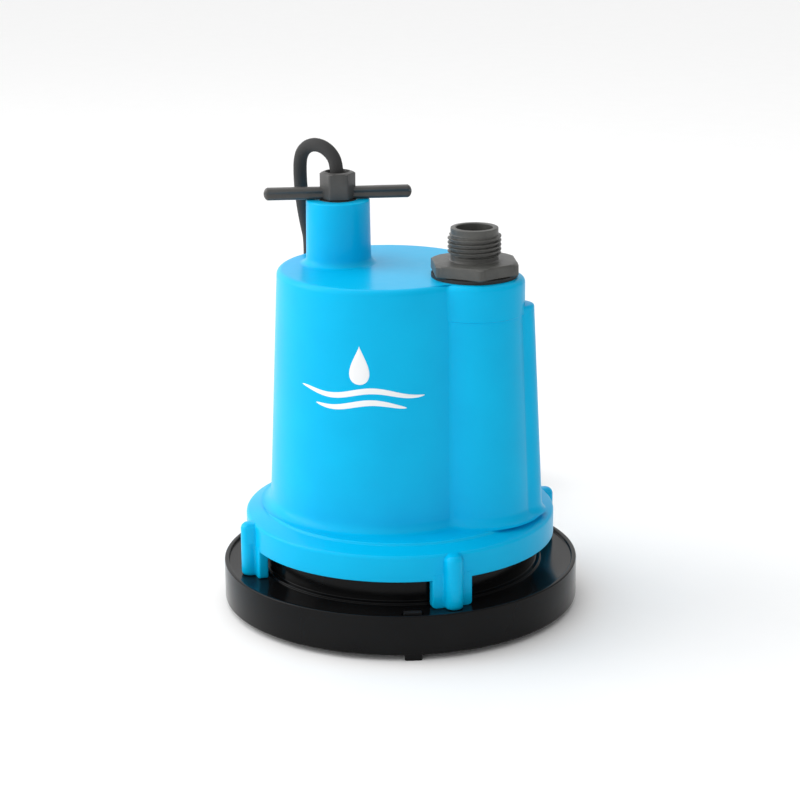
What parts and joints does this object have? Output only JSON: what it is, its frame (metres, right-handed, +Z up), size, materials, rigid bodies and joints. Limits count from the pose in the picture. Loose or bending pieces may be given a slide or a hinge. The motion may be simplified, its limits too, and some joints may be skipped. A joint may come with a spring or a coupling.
{
  "type": "submersible sump pump",
  "caption": "Round submersible utility pump: drum motor housing with cord tower and T-handle gland nut, side discharge boss with hose adapter, on a round intake base.",
  "frame": {"origin": "on the floor under the centre of the round base", "axes": "+Z up, +X from the cord tower towards the discharge boss"},
  "size_m": [0.2128, 0.2908, 0.2409],
  "materials": {
    "housing_paint": "glossy sky blue coating over cast aluminium",
    "base_moulding": "glossy black moulded plastic",
    "strainer_moulding": "satin black moulded plastic",
    "nut_moulding": "fine-grained dark grey moulded plastic",
    "adapter_moulding": "fine-grained dark grey glass-filled plastic",
    "seal_rubber": "black rubber",
    "cord_jacket": "satin dark grey cord jacket",
    "plug_moulding": "moulded black vinyl",
    "plug_brass": "bright stamped brass",
    "screw_steel": "stainless steel",
    "plate_alloy": "as-cast aluminium with turned seats",
    "bearing_steel": "ground bearing steel",
    "core_steel": "stacked electrical steel",
    "winding_copper": "varnished copper wire",
    "cage_alloy": "die-cast aluminium",
    "shaft_steel": "ground stainless steel",
    "impeller_moulding": "glass-filled plastic",
    "seal_ceramic": "lapped ceramic",
    "capacitor_case": "plastic case",
    "lead_sleeve": "wire insulation and crimp caps"
  },
  "bodies": {
    "root": {"pump_base": "base_moulding", "base_screws": "screw_steel", "motor_housing": "housing_paint", "seal_plate": "plate_alloy", "plate_oring": "seal_rubber", "duct_oring": "seal_rubber", "volute_gasket": "seal_rubber", "shaft_seal_seat": "seal_ceramic", "lower_bearing_outer_race": "bearing_steel", "lower_bearing_balls": "bearing_steel", "upper_bearing_outer_race": "bearing_steel", "upper_bearing_balls": "bearing_steel", "stator_core": "core_steel", "stator_windings": "winding_copper", "upper_end_bell": "plate_alloy", "motor_through_bolts": "screw_steel", "run_capacitor": "capacitor_case", "thermal_protector": "capacitor_case", "lead_connectors": "lead_sleeve", "motor_leads": "lead_sleeve", "cord_grommet": "seal_rubber", "cord_inner_jacket": "cord_jacket", "power_cord": "cord_jacket", "cord_coil": "cord_jacket", "power_plug": "plug_moulding", "plug_prongs": "plug_brass"},
    "rotor": {"motor_shaft": "shaft_steel", "rotor_core": "core_steel", "rotor_cage": "cage_alloy", "impeller": "impeller_moulding", "impeller_nut": "screw_steel", "shaft_seal_head": "seal_rubber", "lower_bearing_inner_race": "bearing_steel", "upper_bearing_inner_race": "bearing_steel"},
    "slip_washer": {"gland_slip_washer": "screw_steel"},
    "handle_nut": {"gland_nut": "nut_moulding"},
    "adapter_washer": {"adapter_gasket": "seal_rubber"},
    "adapter": {"hose_adapter": "adapter_moulding"},
    "strainer": {"intake_strainer": "strainer_moulding"}
  },
  "joints": [
    {"name": "rotor_spin", "type": "hinge", "parent": "root", "child": "rotor", "pos_m": [-0.019, 0, 0.08], "axis": [0, 0, 1], "continuous": true},
    {"name": "gland_lift", "type": "slide", "parent": "root", "child": "slip_washer", "axis": [0, 0, 1], "range_m": [0, 0.00045]},
    {"name": "gland_turn", "type": "hinge", "parent": "slip_washer", "child": "handle_nut", "pos_m": [-0.0341, 0, 0.21], "axis": [0, 0, 1], "range_deg": [0, 105]},
    {"name": "adapter_lift", "type": "slide", "parent": "root", "child": "adapter_washer", "axis": [0, 0, 1], "range_m": [0, 0.00221]},
    {"name": "adapter_turn", "type": "hinge", "parent": "adapter_washer", "child": "adapter", "pos_m": [0.0427, 0, 0.18], "axis": [0, 0, 1], "range_deg": [0, 360]},
    {"name": "strainer_release", "type": "slide", "parent": "root", "child": "strainer", "axis": [0, 0, -1], "range_m": [0, 0.022]}
  ],
  "couplings": [
    {"joint": "gland_lift", "follows": "gland_turn", "m_per_rad": 0.00023873},
    {"joint": "adapter_lift", "follows": "adapter_turn", "m_per_rad": 0.00035153}
  ]
}
